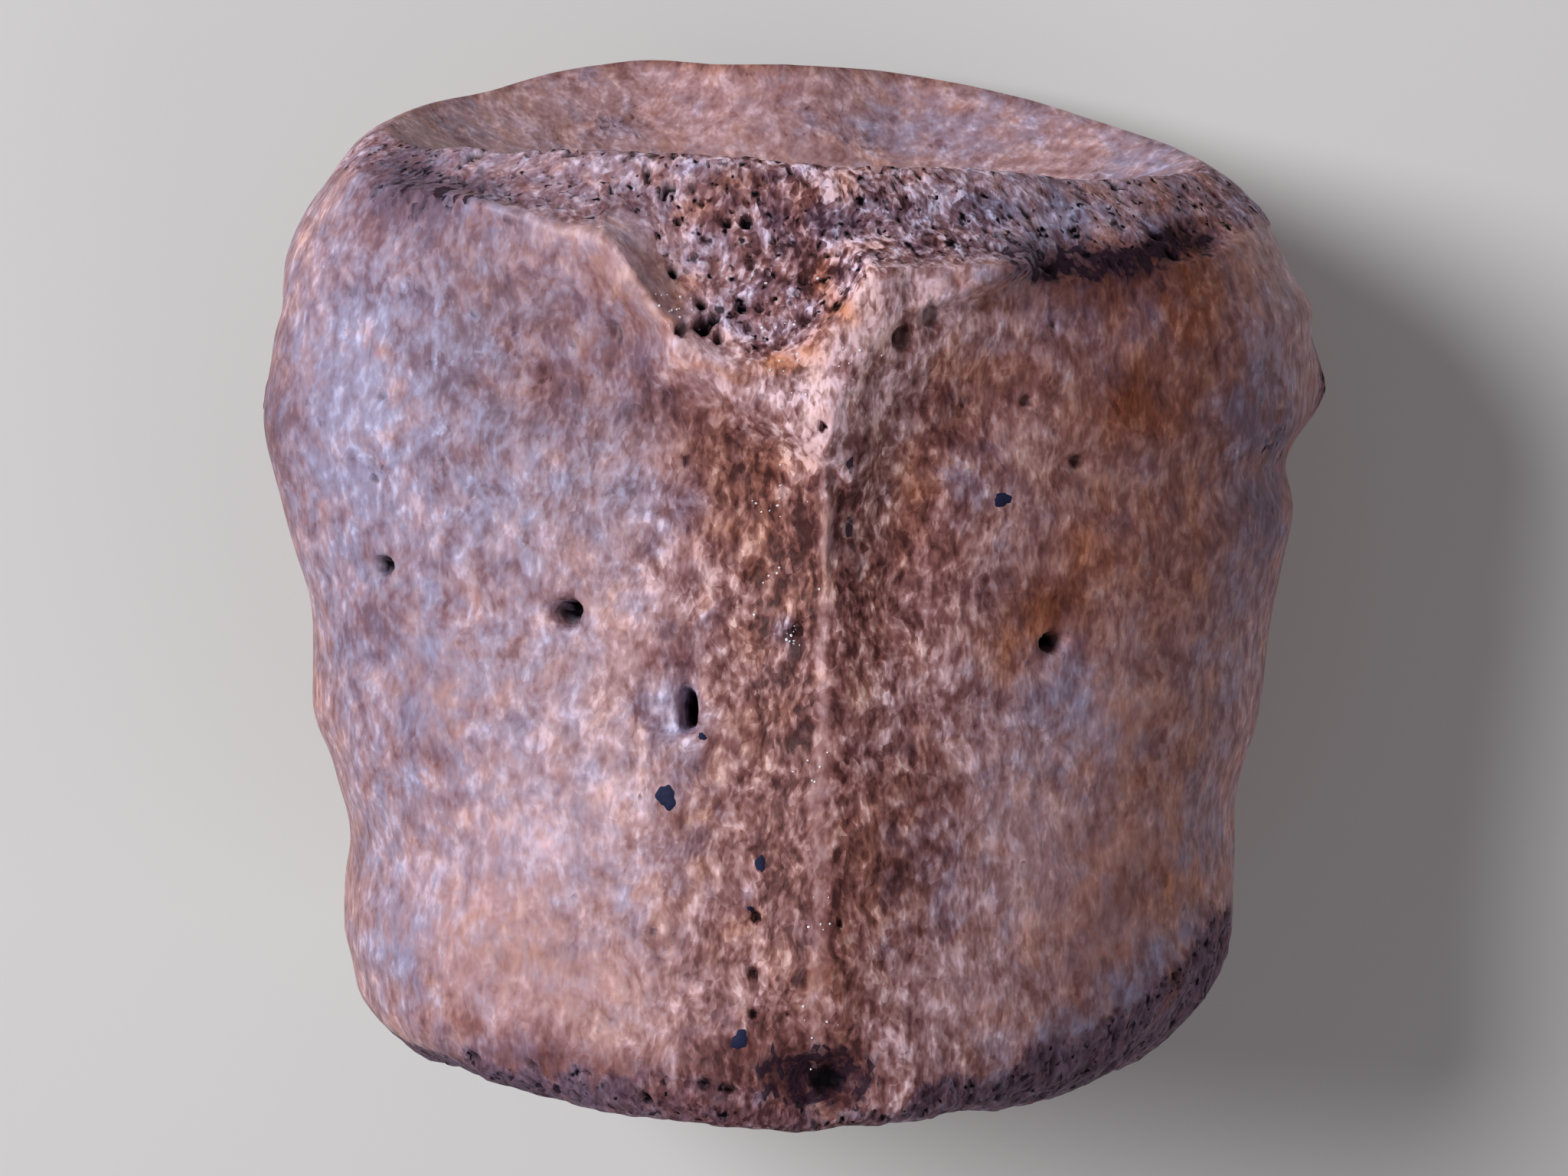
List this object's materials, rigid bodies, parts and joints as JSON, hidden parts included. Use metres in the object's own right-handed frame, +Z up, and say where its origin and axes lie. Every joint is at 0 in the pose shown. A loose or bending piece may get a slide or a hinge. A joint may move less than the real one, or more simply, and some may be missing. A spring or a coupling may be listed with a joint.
{
  "type": "fossil reptile tail vertebra",
  "caption": "Fossil reptile tail centrum, hollow at both ends, with a sharp keel that forks at one end; rims worn to spongy bone, arch and processes broken off.",
  "frame": {"origin": "on the floor, below the middle of the bone's box as it lies on its back", "axes": "+Z up out of the keel of the underside, +Y towards the end where the keel forks, +X to the right of the picture"},
  "size_m": [0.0366, 0.0338, 0.027],
  "materials": {
    "fossil_bone": "matt mineralised bone, mottled cream, tan and lavender grey"
  },
  "bodies": {
    "root": {"centrum": "fossil_bone"}
  },
  "joints": []
}
